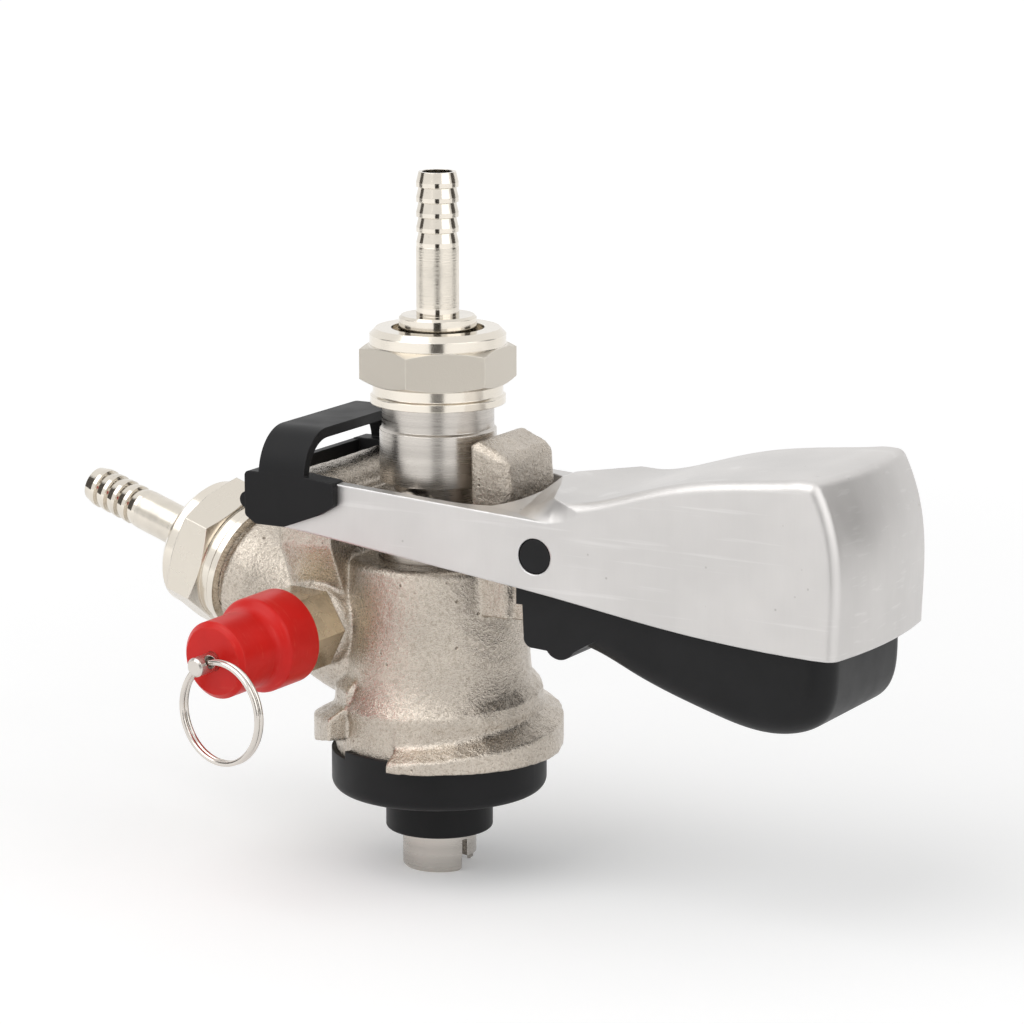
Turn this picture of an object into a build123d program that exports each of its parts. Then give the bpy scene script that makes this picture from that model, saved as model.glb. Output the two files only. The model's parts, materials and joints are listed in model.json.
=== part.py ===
from build123d import *
import math
import os

# A keg coupler: millimetres, origin on the probe's axis in the plane of the body seal's lower face,
# +X towards the grip, +Z up. It is drawn locked on the keg: lever down, probe down.

# --- clearances ---
running = 0.05          # radial clearance of a shaft or piston that moves
seated = 0.02           # clearance of a piece pressed or clamped in place
open_gap = 0.4          # space kept between pieces that move past each other

# --- body casting ---
body_top = 47.5         # height of the body's upper rim
body_r_top = 17.7
body_r_mid = 18.3
body_mid_z = 27.0
skirt_r = 20.9          # moulded ledge above the seal
skirt_z = 18.3
base_r = 20.6
base_z = 3.5            # underside of the casting, on the seal's lip
chamber_r = 14.5        # gas space round the probe
chamber_top = 22.0
rim_chamfer = 0.8

# --- bayonet lugs that lock under the keg neck ---
lug_r = 25.0
lug_start = 275.0       # angle of the low end, from +X
lug_span = 144.0
lug_bottom = 8.5
lug_start_h = 1.9       # height of the outer face at the low end
lug_rise_bottom = 3.9   # how far the underside climbs at the high end
lug_rise_top = 6.2      # how far the upper edge climbs from end to end
rim_rise = 3.4          # how far the ledge above a lug climbs with it
lug_sections = 10

# --- body seal ---
seal_wall = 0.95
seal_top = 10.0
seal_hole_r = 11.8
seal_round = 2.4

# --- probe ---
probe_r = 11.6
probe_neck_r = 11.1
probe_lower_r = 9.4
probe_stem_r = 6.5
probe_bore_r = 4.75
probe_shoulder_z = 73.6
probe_shoulder_chamfer = 0.5
groove_low = 53.6       # annular groove that the lever's studs work in
groove_high = 62.9
groove_r = 8.6
piston_low = 23.0       # where the full radius ends, above the gas space
thread_r = 11.4         # G5/8 male thread, plain
thread_low = 79.2
ring_z = (26.6, 33.4)   # heights of the two rings that seal the piston
ring_wire_r = 0.95

# --- probe tip and its seal ---
tip_r = 7.4
tip_low = -16.2
tip_prong_low = -13.3
seal_cup_low = -8.3
seal_cup_high = -0.5
seal_cup_r = 10.75

# --- beer non-return ball in the probe's head ---
ball_r = 4.4
ball_room_r = 5.4
ball_room_low = 74.0

# --- union nut and hose tail, the same for beer and gas ---
nut_af = 27.0
nut_h = 14.85
nut_skirt_r = 13.4
nut_skirt_h = 1.45
nut_neck_r = 12.9
nut_hex_low = 3.85
nut_hex_high = 11.65
nut_collar_r = 13.5
nut_opening_r = 9.2
nut_lip = 2.2
beer_nut_z = 78.35
tail_bore_r = 3.0
tail_shank_r = 4.25
tail_collar_r = 7.7
tail_collar_high = 17.35
tail_flange_r = 10.9
tail_flange_h = 2.5
tail_spigot_r = 5.2
spigot_h = 3.0          # how far the tail reaches into the threaded end
tail_plain_high = 30.85
tail_barb_pitch = 2.94
tail_barbs = 5
tail_crest_r = 4.2
tail_root_r = 3.7
washer_h = 2.0

# --- gas inlet arm ---
gas_azimuth = 172.0
gas_rise = 15.5
gas_z = 25.3            # height where its axis meets the body's axis
gas_face = 48.0         # end face of the casting, along the arm
gas_arm_r = 12.7
gas_root_r = 14.6
gas_root_s = 20.0
gas_start_s = 4.0       # where the arm begins, inside the barrel
gas_bore_r = 5.0
gas_drill_r = 3.4
gas_seat_step = 2.4     # how much wider the valve's seat is than the bore
gas_seat_depth = 5.3
gas_nut_gap = 1.5       # between the casting and the nut's skirt
gas_hex_turn = 35.0

# --- relief valve ---
prv_at = (-20.0, -10.0, 34.0)
prv_azimuth = -99.0
prv_rise = -3.5
prv_boss_r = 8.4
prv_boss_s = 4.6
prv_af = 15.0
prv_hex_s = 12.6
prv_thread_r = 7.0
prv_tube_s = 22.5
prv_room_r = 5.5
prv_seat_s = 9.0
prv_inlet_r = 2.8
cap_big_r = 9.55
cap_small_r = 7.75
cap_step_s = 21.4
cap_end_s = 34.2
cap_wall = 2.2
stem_r = 1.9
stem_end_s = 39.6
stem_hole_s = 36.6
stem_hole_r = 1.35
disc_h = 2.6
spring_wire_r = 0.45
spring_turns = 5
split_r = 9.95          # centre line of the split ring
split_wire_r = 0.55
split_lay = 0.5         # each turn's distance from the ring's middle plane
split_roll = 26.0       # how far the stem's cross hole is turned from level

# --- lever ---
hinge_x = -22.0
hinge_z = 60.0
hinge_pin_r = 3.0
arm_out = 20.75         # outer faces of the two arms
arm_t = 2.55
slot_x = 11.35          # centre of the fork's round end
web_t = 3.0             # top and end walls of the handle
arm_nose = 5.6          # round end of the arms behind the pin; the next five are heights from the pin
arm_drop = 12.3
handle_drop = 19.1
neck_rise = 6.6
hump_rise = 13.9
arm_crest = 4.2
roof_rise = 6.25        # ridge of the neck's two sloping facets
roof_fall = 0.262       # how steeply they fall to the sides
handle_front = 20.0     # where the handle meets the fork's crotch
handle_end = 98.0
arm_end = 96.5
end_sweep_r = 107.0     # plan radius of the swollen end face
taper_x = 43.9          # where the handle reaches the arms' full width
edge_round = 2.2
stud_r = 4.2
stud_x = 0.0
stud_z = 58.25
stud_spigot_r = 2.5
stud_sink = 1.3

# --- trigger ---
pivot_x = 32.95
pivot_z = 54.4
pivot_r = 3.5
ear_wall = 2.6
trigger_t = 2.6
trigger_side_gap = 0.35
trigger_front = 28.6
trigger_rear = 93.4
grip_top = 48.3
grip_depth = 23.9       # from the grip's flat top to its lowest point
finger_depth = 14.3     # from the flat top to the bead in front of the finger's hollow
grip_round = 5.0
catch_x = 26.0          # outer face of the catch on the body
catch_low = 38.5
catch_high = 47.0
catch_half = 9.0

# --- post, hinge lug and cover ---
post_in = 12.9
post_out = 20.9
post_half = 10.0
post_top = 73.5         # inner edge of its sloping top
post_drop = 3.2
post_draft = 1.2        # how much further out the foot of its outer face stands
post_round = 2.0
post_edge = 1.2
hinge_lug_r = 4.9
hinge_lug_in = -14.2
hinge_web_back = 4.3     # how far the web reaches behind the pin, clear of the cover's sweep
cover_t = 1.75
cover_reach_front = 11.3    # this size and the six below it are measured from the hinge pin
cover_reach_back = 9.0
cover_drop = 5.1
cover_rise = 5.4
strap_rise = 13.8
strap_set_back = 0.5
band_rise = 3.4
strap_w = 10.4
strap_t = 2.0
strap_round = 9.0
band_h = 3.4
cover_cut = 3.0         # height of the corner cut away over the arm's underside

# --- sizes that follow from the ones above ---
guide_r = probe_r + running
arm_in = arm_out - arm_t
nut_bore_r = thread_r + running
nut_lip_low = nut_h - nut_lip
tail_flange_low = nut_lip_low - seated - tail_flange_h
washer_low = tail_flange_low - seated - washer_h
gas_thread_end = gas_face + gas_nut_gap + washer_low - seated
probe_top = beer_nut_z + washer_low - seated
tail_top = tail_plain_high + tail_barbs * tail_barb_pitch
trigger_half = arm_in - trigger_side_gap
cover_front = hinge_x + cover_reach_front
cover_back = hinge_x - cover_reach_back
cover_low = hinge_z - cover_drop
cover_high = hinge_z + cover_rise
strap_top = hinge_z + strap_rise
strap_x = hinge_x - strap_set_back
band_z = hinge_z + band_rise


def direction(azimuth, rise):
    """Unit vector from an azimuth about +Z and a rise above level, both in degrees."""
    a = math.radians(azimuth)
    b = math.radians(rise)
    return Vector(math.cos(b) * math.cos(a), math.cos(b) * math.sin(a), math.sin(b))


def along(origin, heading):
    """Plane at origin whose Z axis is heading and whose X axis is level."""
    level = Vector(0, 0, 1).cross(heading).normalized()
    return Plane(origin=origin, x_dir=level, z_dir=heading)


def turned(*points):
    """Solid of revolution about Z from a closed outline of (radius, height) corners."""
    return revolve(make_face(Plane.XZ * Polyline(*points, close=True)), Axis.Z)


def drum(radius, low, high):
    """Cylinder on the Z axis between two heights."""
    return Pos(0, 0, low) * extrude(Circle(radius), high - low)


def block(x0, x1, y0, y1, z0, z1):
    """Box between two opposite corners."""
    return Pos((x0 + x1) / 2, (y0 + y1) / 2, (z0 + z1) / 2) * Box(x1 - x0, y1 - y0, z1 - z0)


def cross_rod(radius, x, z, half):
    """Cylinder along Y through (x, z), half to each side."""
    return Pos(x, 0, z) * Rot(90, 0, 0) * Cylinder(radius, 2 * half)


def side_plate(face, y0, y1):
    """Extrude a face drawn in the XZ plane from y0 to y1."""
    return Pos(0, y0, 0) * extrude(face, y1 - y0, dir=(0, 1, 0))


gas_line = along((0, 0, gas_z), direction(gas_azimuth, gas_rise))
prv_line = along(prv_at, direction(prv_azimuth, prv_rise))


# ---------------------------------------------------------------- body

def body_shell():
    """Outer form of the cast barrel with its ledge."""
    outline = Plane.XZ * (
        Polyline((0, base_z), (base_r, base_z), (base_r, skirt_z - 2.4), (skirt_r, skirt_z - 1.4),
                 (skirt_r, skirt_z))
        + Spline((skirt_r, skirt_z), (19.1, skirt_z + 3.9), (body_r_mid, body_mid_z),
                 tangents=[(-0.55, 1), (-0.02, 1)])
        + Polyline((body_r_mid, body_mid_z), (body_r_top, body_top), (0, body_top), (0, base_z)))
    barrel = revolve(make_face(outline), Axis.Z)
    rim = barrel.edges().group_by(Axis.Z)[-1]
    return chamfer(rim, rim_chamfer)


def lug_section(share):
    """One radial section of a bayonet lug and the ledge above it, at a share of its span."""
    late = max(0.0, (share - 0.72) / 0.28)
    bottom = lug_bottom + lug_rise_bottom * late
    top = max(lug_bottom + lug_rise_top * share, bottom) + lug_start_h
    rim = skirt_z + rim_rise * share
    inner = chamber_r + 1.5
    outer = lug_r + 3
    slope = 0.55
    face = make_face(Plane.XZ * Polyline(
        (inner, bottom), (outer, bottom), (outer, top - (outer - lug_r) * slope),
        (skirt_r, min(top + (lug_r - skirt_r) * slope, rim - 0.5)), (skirt_r, rim),
        (inner, rim + 1.1 * (skirt_r - inner)), close=True))
    return Rot(0, 0, lug_start + lug_span * share) * face


def bayonet_lug():
    """Helical lug, lofted through radial sections and trimmed to the locking radius."""
    ramp = loft([lug_section(i / (lug_sections - 1)) for i in range(lug_sections)], ruled=True)
    return ramp & drum(lug_r, 0, body_top)


def hinge_lug():
    """Knuckle between the lever's arms at the back, carried up from the barrel."""
    half = arm_in - open_gap
    knuckle = cross_rod(hinge_lug_r, hinge_x, hinge_z, arm_in)
    web = block(hinge_x - hinge_web_back, hinge_lug_in, -arm_in, arm_in, body_top - 12, hinge_z)
    taper = extrude(make_face(Plane.YZ * Polyline(
        (-half, 90), (half, 90), (half, body_top + 3), (10, body_top - 13),
        (-10, body_top - 13), (-half, body_top + 3), close=True)), 30, both=True)
    return (knuckle + web) & (Pos(hinge_x, 0, 0) * taper)


def post():
    """Cast post that stands up through the lever's fork, its top sloping outwards, with worn edges."""
    low = body_top - 9
    foot = post_out + post_draft
    side = make_face(Plane.XZ * Polyline(
        (post_in, low), (foot, low), (foot, body_top + 8), (post_out, post_top - post_drop),
        (post_in, post_top), close=True))
    upright = side_plate(side, -post_half, post_half)
    corners = upright.edges().filter_by(lambda e: e.center().X > post_out - 0.5
                                        and abs(e.center().Y) > post_half - 0.1)
    upright = fillet(corners, post_round)
    rim = upright.edges().filter_by(lambda e: e.center().Z > post_top - post_drop - 0.2)
    upright = chamfer(rim, post_edge)
    catch = block(post_in + 2, catch_x, -catch_half, catch_half, catch_low, catch_high)
    catch = chamfer(catch.edges().filter_by(Axis.Y).sort_by(Axis.Z)[-1], 1.5)
    return upright + catch


def gas_arm():
    """Inlet arm of the casting, with its plain thread end."""
    return gas_line * turned(
        (0, gas_start_s), (gas_root_r, gas_start_s), (gas_root_r, gas_root_s),
        (gas_arm_r, gas_face - 5),
        (gas_arm_r + 0.3, gas_face - 1), (gas_arm_r, gas_face), (thread_r, gas_face),
        (thread_r, gas_thread_end - 0.8), (thread_r - 0.8, gas_thread_end), (0, gas_thread_end))


def prv_boss():
    """Raised boss on the side of the inlet arm for the relief valve."""
    return prv_line * turned((0, -10), (prv_boss_r + 1.5, -10), (prv_boss_r, prv_boss_s - 1),
                             (prv_boss_r - 0.8, prv_boss_s), (0, prv_boss_s))


def gas_way():
    """Bores that lead the gas from the inlet down into the chamber and to the relief valve."""
    heading = direction(gas_azimuth, gas_rise)
    turn = Vector(0, 0, gas_z) + heading * 27
    goal = Vector(0, 0, chamber_top - 5) + direction(gas_azimuth, 0) * (chamber_r - 3)
    drill = along(turn, (goal - turn).normalized()) * drum(gas_drill_r, 0, (goal - turn).length)
    inlet = gas_line * drum(gas_bore_r, 25, gas_thread_end + 1)
    seat = gas_line * drum(gas_bore_r + gas_seat_step, gas_thread_end - gas_seat_depth,
                           gas_thread_end + 1)
    relief = prv_line * drum(prv_inlet_r, -14, prv_boss_s + 1)
    socket = prv_line * drum(prv_room_r + seated, prv_boss_s - 6, prv_boss_s + 1)
    return inlet + drill + seat + relief + socket


def coupler_body():
    """The casting: barrel, lugs, post, knuckle, inlet arm and boss, then its bores."""
    lug = bayonet_lug()
    solid = body_shell() + gas_arm() + prv_boss() + hinge_lug() + post()
    solid += lug + Rot(0, 0, 180) * lug
    solid -= drum(guide_r, base_z - 1, post_top + 5)
    solid -= drum(chamber_r, base_z + 4, chamber_top)
    solid -= drum(seal_hole_r + 1.2, base_z - 1, base_z + 5)
    solid -= cross_rod(hinge_pin_r + running, hinge_x, hinge_z, arm_out)
    return solid - gas_way()


def body_seal():
    """Rubber seal: lip under the casting and a wall round it, cut away under the lugs."""
    outer = base_r + seated + seal_wall
    seal = turned((seal_hole_r, 0), (outer, 0), (outer, seal_top), (base_r + seated, seal_top),
                  (base_r + seated, base_z - seated), (seal_hole_r, base_z - seated))
    low = seal.edges().group_by(Axis.Z)[0].sort_by(SortBy.RADIUS)[-1]
    seal = fillet(low, seal_round)
    for turn in (0, 180):
        reach = Rot(0, 0, lug_start + turn - 1) * Pos(0, 0, lug_bottom - 0.1) * extrude(
            make_face(Line((0, 0), (40, 0)) + CenterArc((0, 0), 40, 0, lug_span + 2)
                      + Line(Vector(40, 0).rotate(Axis.Z, lug_span + 2), (0, 0))), 10)
        seal -= reach
    return seal


# ---------------------------------------------------------------- probe

def probe():
    """Turned probe with its stud groove, ring grooves, thread and flow bore."""
    depth = probe_r - ring_wire_r * 2 + running
    half = ring_wire_r + 0.25
    outline = [(probe_bore_r, seal_cup_low), (probe_stem_r, seal_cup_low),
               (probe_stem_r, seal_cup_high), (probe_lower_r, seal_cup_high),
               (probe_lower_r, piston_low - 1), (probe_r, piston_low)]
    for z in ring_z:
        outline += [(probe_r, z - half), (depth, z - half), (depth, z + half), (probe_r, z + half)]
    outline += [(probe_r, groove_low), (groove_r, groove_low), (groove_r, groove_high),
                (probe_r, groove_high), (probe_r, probe_shoulder_z - probe_shoulder_chamfer),
                (probe_neck_r, probe_shoulder_z), (probe_neck_r, thread_low),
                (thread_r, thread_low + 0.3), (thread_r, probe_top - 0.6),
                (thread_r - 0.6, probe_top), (ball_room_r, probe_top),
                (ball_room_r, ball_room_low), (probe_bore_r - 1, ball_room_low - 2),
                (probe_bore_r - 1, ball_room_low - 6), (probe_bore_r, ball_room_low - 7)]
    return turned(*outline) + probe_tip()


def probe_tip():
    """Slotted tube below the probe seal, with one shorter prong."""
    tube = turned((probe_bore_r, tip_low), (tip_r - 0.5, tip_low), (tip_r, tip_low + 0.6),
                  (tip_r, seal_cup_low - seated), (probe_stem_r - 0.5, seal_cup_low - seated),
                  (probe_stem_r - 0.5, seal_cup_low + 1), (probe_bore_r, seal_cup_low + 1))
    slit = Rot(0, 0, -17) * block(0, tip_r + 1, -0.7, 0.7, tip_low - 1, seal_cup_low - 1.5)
    back = Rot(0, 0, 115) * block(0, tip_r + 1, -5.2, 5.2, tip_low - 1, seal_cup_low - 2)
    step = Rot(0, 0, 15) * block(0, tip_r + 1, -4.6, 4.6, tip_low - 1, tip_prong_low)
    return tube - slit - back - step


def probe_seal():
    """Rubber cup that opens the keg valve, stretched over the probe's stem."""
    cup = turned((probe_stem_r + seated, seal_cup_low), (seal_cup_r, seal_cup_low),
                 (seal_cup_r, seal_cup_high - seated), (probe_stem_r + seated, seal_cup_high - seated))
    rims = [e for e in cup.edges().filter_by(GeomType.CIRCLE) if e.radius > seal_cup_r - 0.1]
    return fillet(rims, 0.7)


def probe_rings():
    """Two rubber rings in the piston's grooves."""
    wire = ring_wire_r - 0.03
    return [Pos(0, 0, z) * Torus(probe_r + running / 2 - wire, wire) for z in ring_z]


def ball_seat_z():
    """Height of the ball's centre when it rests on the cone under the ball room."""
    top = (ball_room_r, ball_room_low)
    low = (probe_bore_r - 1, ball_room_low - 2)
    run = top[0] - low[0]
    rise = top[1] - low[1]
    slant = math.hypot(run, rise)
    return low[1] + (ball_r + running) * slant / run - low[0] * rise / run


# ---------------------------------------------------------------- nut and tail

def union_nut():
    """Hexagon union nut, skirt at z = 0, made round a G5/8 end."""
    hexagon = extrude(RegularPolygon(nut_af / 2, 6, major_radius=False), nut_hex_high - nut_hex_low)
    corner = nut_af / math.sqrt(3)
    across = turned((0, nut_hex_low), (nut_af / 2 - 0.2, nut_hex_low), (corner + 0.1, nut_hex_low + 1.0),
                    (corner + 0.1, nut_hex_high - 1.0), (nut_af / 2 - 0.2, nut_hex_high),
                    (0, nut_hex_high))
    nut = (Pos(0, 0, nut_hex_low) * hexagon) & across
    nut += turned((0, 0), (nut_skirt_r, 0), (nut_skirt_r, nut_skirt_h), (nut_neck_r, nut_skirt_h + 0.4),
                  (nut_neck_r, nut_hex_low), (nut_neck_r, nut_hex_high), (nut_collar_r, nut_hex_high),
                  (nut_collar_r, nut_h - 1.2), (nut_collar_r - 1.2, nut_h), (0, nut_h))
    nut -= drum(nut_bore_r, -1, nut_lip_low)
    return nut - drum(nut_opening_r, 0, nut_h + 1)


def hose_tail():
    """Barbed tail with its flange under the nut's lip, on the axis of the union nut."""
    low = washer_low - seated
    outline = [(tail_bore_r, low - spigot_h), (tail_spigot_r, low - spigot_h), (tail_spigot_r, tail_flange_low),
               (tail_flange_r, tail_flange_low), (tail_flange_r, nut_lip_low - seated),
               (tail_collar_r, nut_lip_low - seated), (tail_collar_r, tail_collar_high - 0.5),
               (tail_collar_r - 0.5, tail_collar_high), (tail_shank_r, tail_collar_high),
               (tail_shank_r, tail_plain_high)]
    for i in range(tail_barbs):
        foot = tail_plain_high + i * tail_barb_pitch
        outline += [(tail_crest_r, foot), (tail_crest_r, foot + 0.9),
                    (tail_root_r, foot + tail_barb_pitch)]
    outline += [(tail_bore_r, tail_top)]
    tail = turned(*outline)
    for k in range(3):
        notch = Rot(0, 0, 60 * k) * block(-8, 8, -1.1, 1.1, low - spigot_h - 1, low - 1)
        tail -= notch
    return tail


def washer():
    """Flat rubber washer between the tail's flange and the threaded end."""
    return turned((tail_spigot_r + seated, washer_low), (tail_flange_r, washer_low),
                  (tail_flange_r, washer_low + washer_h), (tail_spigot_r + seated, washer_low + washer_h))


def gas_valve():
    """Rubber duck-bill non-return valve, its flange held in the inlet's seat by the tail."""
    low = gas_thread_end - gas_seat_depth + seated
    high = gas_thread_end - spigot_h - seated
    rim = gas_bore_r + gas_seat_step - seated
    wall = 0.9
    bill = gas_bore_r - 0.3
    cup = turned((bill - wall, high), (rim, high), (rim, low), (bill, low), (1.5, low - 7), (0, low - 7),
                 (0, low - 6), (bill - wall, low))
    return cup - block(-3, 3, -0.15, 0.15, low - 8, low - 4)


# ---------------------------------------------------------------- relief valve

def prv_body():
    """Hexagon valve body: spigot in the boss, seat, and the thread that the cap turns on."""
    hexagon = Pos(0, 0, prv_boss_s + seated) * extrude(
        RegularPolygon(prv_af / 2, 6, major_radius=False), prv_hex_s - prv_boss_s - seated)
    tube = turned((prv_inlet_r, prv_boss_s - 5.8), (prv_room_r, prv_boss_s - 5.8),
                  (prv_room_r, prv_boss_s + 1), (prv_thread_r, prv_boss_s + 1),
                  (prv_thread_r, prv_tube_s), (prv_room_r, prv_tube_s), (prv_room_r, prv_seat_s),
                  (prv_inlet_r, prv_seat_s))
    return (hexagon - drum(prv_thread_r - 0.5, 0, prv_hex_s + 1)) + tube


def prv_cap():
    """Red cap in two diameters with a blended step, threaded on the valve body."""
    outer = Plane.XZ * (
        Polyline((0, prv_hex_s + open_gap), (cap_big_r - 0.6, prv_hex_s + open_gap),
                 (cap_big_r, prv_hex_s + open_gap + 0.6), (cap_big_r, cap_step_s))
        + Spline((cap_big_r, cap_step_s), (cap_small_r + 0.55, cap_step_s + 1.6),
                 (cap_small_r, cap_step_s + 3.4), tangents=[(-0.1, 1), (-0.05, 1)])
        + Polyline((cap_small_r, cap_step_s + 3.4), (cap_small_r, cap_end_s - 1.0),
                   (cap_small_r - 1.0, cap_end_s), (0, cap_end_s), (0, prv_hex_s + open_gap)))
    cap = revolve(make_face(outer), Axis.Z)
    cap -= drum(prv_thread_r + seated, prv_hex_s, prv_tube_s + open_gap)
    cap -= drum(prv_room_r, prv_hex_s, cap_end_s - cap_wall)
    return cap - drum(stem_r + running, prv_hex_s, cap_end_s + 1)


def prv_stem():
    """Pull stem with a cross hole for the split ring."""
    stem = turned((0, prv_seat_s + disc_h + seated), (stem_r, prv_seat_s + disc_h + seated),
                  (stem_r, stem_end_s - 0.4), (stem_r - 0.4, stem_end_s), (0, stem_end_s))
    hole = Pos(0, 0, stem_hole_s) * Rot(0, 0, split_roll) * Rot(0, 90, 0) * Cylinder(
        stem_hole_r, 4 * stem_r)
    return stem - hole


def prv_disc():
    """Rubber disc that closes the seat."""
    return turned((0, prv_seat_s + seated), (prv_room_r - 0.4, prv_seat_s + seated),
                  (prv_room_r - 0.4, prv_seat_s + disc_h - 0.4), (prv_room_r - 0.8, prv_seat_s + disc_h),
                  (0, prv_seat_s + disc_h))


def prv_spring():
    """Round-wire compression spring between the disc and the cap's end wall."""
    low = prv_seat_s + disc_h + spring_wire_r + 0.1
    high = cap_end_s - cap_wall - spring_wire_r - 0.1
    radius = prv_room_r - 0.5 - spring_wire_r
    path = Helix(pitch=(high - low) / spring_turns, height=high - low, radius=radius)
    wire = sweep(Plane(origin=path @ 0, z_dir=path % 0) * Circle(spring_wire_r), path=path)
    return Pos(0, 0, low) * wire


def split_ring():
    """Two turns of wire side by side, hung from the stem's cross hole."""
    hang = math.degrees(math.atan(math.tan(math.radians(-prv_rise)) / math.cos(math.radians(split_roll))))
    middle = Pos(0, 0, stem_hole_s) * Rot(0, 0, split_roll) * Rot(-hang, 0, 0) * Pos(0, -split_r, 0)
    turns = Torus(split_r, split_wire_r)
    return middle * (Pos(0, 0, -split_lay) * turns + Pos(0, 0, split_lay) * turns)


# ---------------------------------------------------------------- lever

def between(a, b, across, up):
    """Point at a share of the way from a to b along X, and at another share along Z."""
    return (a[0] + across * (b[0] - a[0]), a[1] + up * (b[1] - a[1]))


def lower_edge(start, end):
    """Underside of the lever from the point start to x = end: straight, then easing to level."""
    bend = (trigger_front + 2.4, hinge_z - arm_drop)
    level = (arm_end - 5.3, hinge_z - handle_drop)
    ease = Spline(bend, between(bend, level, 0.5, 0.65), level, tangents=[(1, -0.13), (1, -0.03)])
    return Line(start, bend) + ease + Line(level, (end, level[1]))


def arm_profile():
    """Side outline of one arm and of the handle's skirt, in the XZ plane."""
    nose = (hinge_x - 1.0, hinge_z - arm_nose)
    chin = (hinge_x + 4.0, hinge_z - arm_nose - 0.5)
    brow = (hinge_x + 0.4, hinge_z + arm_nose - 1.0)
    return Plane.XZ * (
        Line(nose, chin) + lower_edge(chin, arm_end)
        + ThreePointArc(nose, (hinge_x - arm_nose, hinge_z), brow)
        + Polyline(brow, (cover_front - 0.6, hinge_z + arm_crest), (taper_x, hinge_z + 0.7),
                   (arm_end, hinge_z - 2.0), (arm_end, hinge_z - handle_drop)))


def hump_line():
    """Points along the handle's top: brow, dip, two on the climb, and the crown."""
    brow = (handle_front + 9, hinge_z + neck_rise)
    dip = (taper_x - 5.6, hinge_z + neck_rise - 1.3)
    crown = (handle_end - 13.2, hinge_z + hump_rise)
    return [brow, dip, between(dip, crown, 0.295, 0.326), between(dip, crown, 0.585, 0.733), crown]


def handle_profile():
    """Side outline of the humped handle, in the XZ plane, run on past end_form."""
    past = handle_end + 4
    foot = (handle_front, hinge_z - arm_drop + 1.5)
    top = hump_line()
    crest = Spline(*top, (past, hinge_z + hump_rise - 0.9), tangents=[(1, -0.06), (1, -0.12)])
    return Plane.XZ * (
        lower_edge(foot, past) + Polyline(foot, (handle_front, top[0][1] + 0.3), top[0]) + crest
        + Line((past, hinge_z + hump_rise - 0.9), (past, hinge_z - handle_drop)))


def end_form():
    """Barrel-shaped solid whose wall is the handle's end face, swollen in plan and side view."""
    r = end_sweep_r
    wall = Spline((r - 0.4, 40), (r, 55), (r - 1.0, 64), (r - 4.2, 73), (r - 7, 78),
                  tangents=[(0.02, 1), (-0.6, 1)])
    face = make_face(Plane.XZ * (Polyline((0, 30), (r - 0.5, 30), (r - 0.4, 40)) + wall
                                 + Polyline((r - 7, 78), (0, 78), (0, 30))))
    return Pos(handle_end - r, 0, 0) * revolve(face, Axis.Z)


def neck_section(share):
    """Section of the form that the neck stays inside, from the fork (0) to the handle's full width (1)."""
    ease = min(1.0, max(0.0, (share - 0.25) / 0.6))
    ease = ease * ease * (3 - 2 * ease)
    ridge = hinge_z + roof_rise
    foot = ridge - roof_fall * arm_out
    shoulder = 12 + (arm_out + 0.3 - 12) * share
    edge = ridge - roof_fall * shoulder
    edge += (ridge + 0.5 - edge) * ease
    ridge += 6 * ease
    over = arm_out + 0.3 * ease
    x = handle_front - 0.1 + (taper_x - handle_front + 0.1) * share
    return make_face(Plane.YZ.offset(x) * Polyline(
        (-over, 30), (-over, foot), (-shoulder, edge), (0, ridge), (shoulder, edge), (over, foot),
        (over, 30), close=True))


def neck_form():
    """Form of the neck: facets that fall to the arms at the fork and stand upright at the handle."""
    front = loft([neck_section(i / 6) for i in range(7)], ruled=True)
    return front + block(taper_x, handle_end + 20, -arm_out - 1, arm_out + 1, 30, 90)


def fork_slot():
    """Plan outline of the open fork with its round end."""
    return (Polyline((-60, -arm_in), (slot_x, -arm_in))
            + ThreePointArc((slot_x, -arm_in), (slot_x + arm_in, 0), (slot_x, arm_in))
            + Polyline((slot_x, arm_in), (-60, arm_in), (-60, -arm_in)))


def handle_hollow():
    """Space under the handle's top wall, open below, that the trigger works in."""
    back = handle_end - web_t
    over_ears = pivot_z + pivot_r + ear_wall + open_gap
    roof = [(x, z - web_t - 0.4) for x, z in hump_line()[2:]]
    high = roof[-1][1]
    room = side_plate(make_face(Plane.XZ * Polyline(
        (slot_x + 4, 0), (slot_x + 4, over_ears), (taper_x - 4, over_ears), *roof, (back - 3.5, high - 1.0),
        (back, high - 6.5), (back, 0), close=True)), -arm_in, arm_in)
    corners = room.edges().filter_by(Axis.Z).filter_by(lambda e: e.center().X > back - 0.5)
    return fillet(corners, grip_round - 1.5)


def lever():
    """Cast lever: two arms, fork, humped hollow handle, bores for pins and studs."""
    arms = side_plate(make_face(arm_profile()), -arm_out, arm_out)
    hump = side_plate(make_face(handle_profile()), -arm_out, arm_out) & end_form()
    edges = hump.edges()
    crest = edges.filter_by(lambda e: e.center().Z > 64 and abs(e.center().Y) > 15 and e.length > 5)
    sides = edges.filter_by(lambda e: e.center().X > 93 and abs(e.center().Y) > arm_out - 0.3
                            and 45 < e.center().Z < 70)
    brow = edges.filter_by(lambda e: e.center().X > 85 and e.center().Z > 70
                           and abs(e.center().Y) < 5)
    hump = fillet(crest + sides + brow, edge_round) & neck_form()
    arms -= block(taper_x, handle_end + 20, -arm_out - 1, arm_out + 1, 30, 90)
    solid = arms + hump
    solid -= Pos(0, 0, 20) * extrude(make_face(fork_slot()), 80)
    solid -= handle_hollow()
    solid -= cross_rod(hinge_pin_r + seated, hinge_x, hinge_z, arm_out + 1)
    solid -= cross_rod(pivot_r + seated, pivot_x, pivot_z, arm_out + 1)
    solid -= cross_rod(stud_spigot_r + seated, stud_x, stud_z, arm_in + stud_sink)
    return solid


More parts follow.
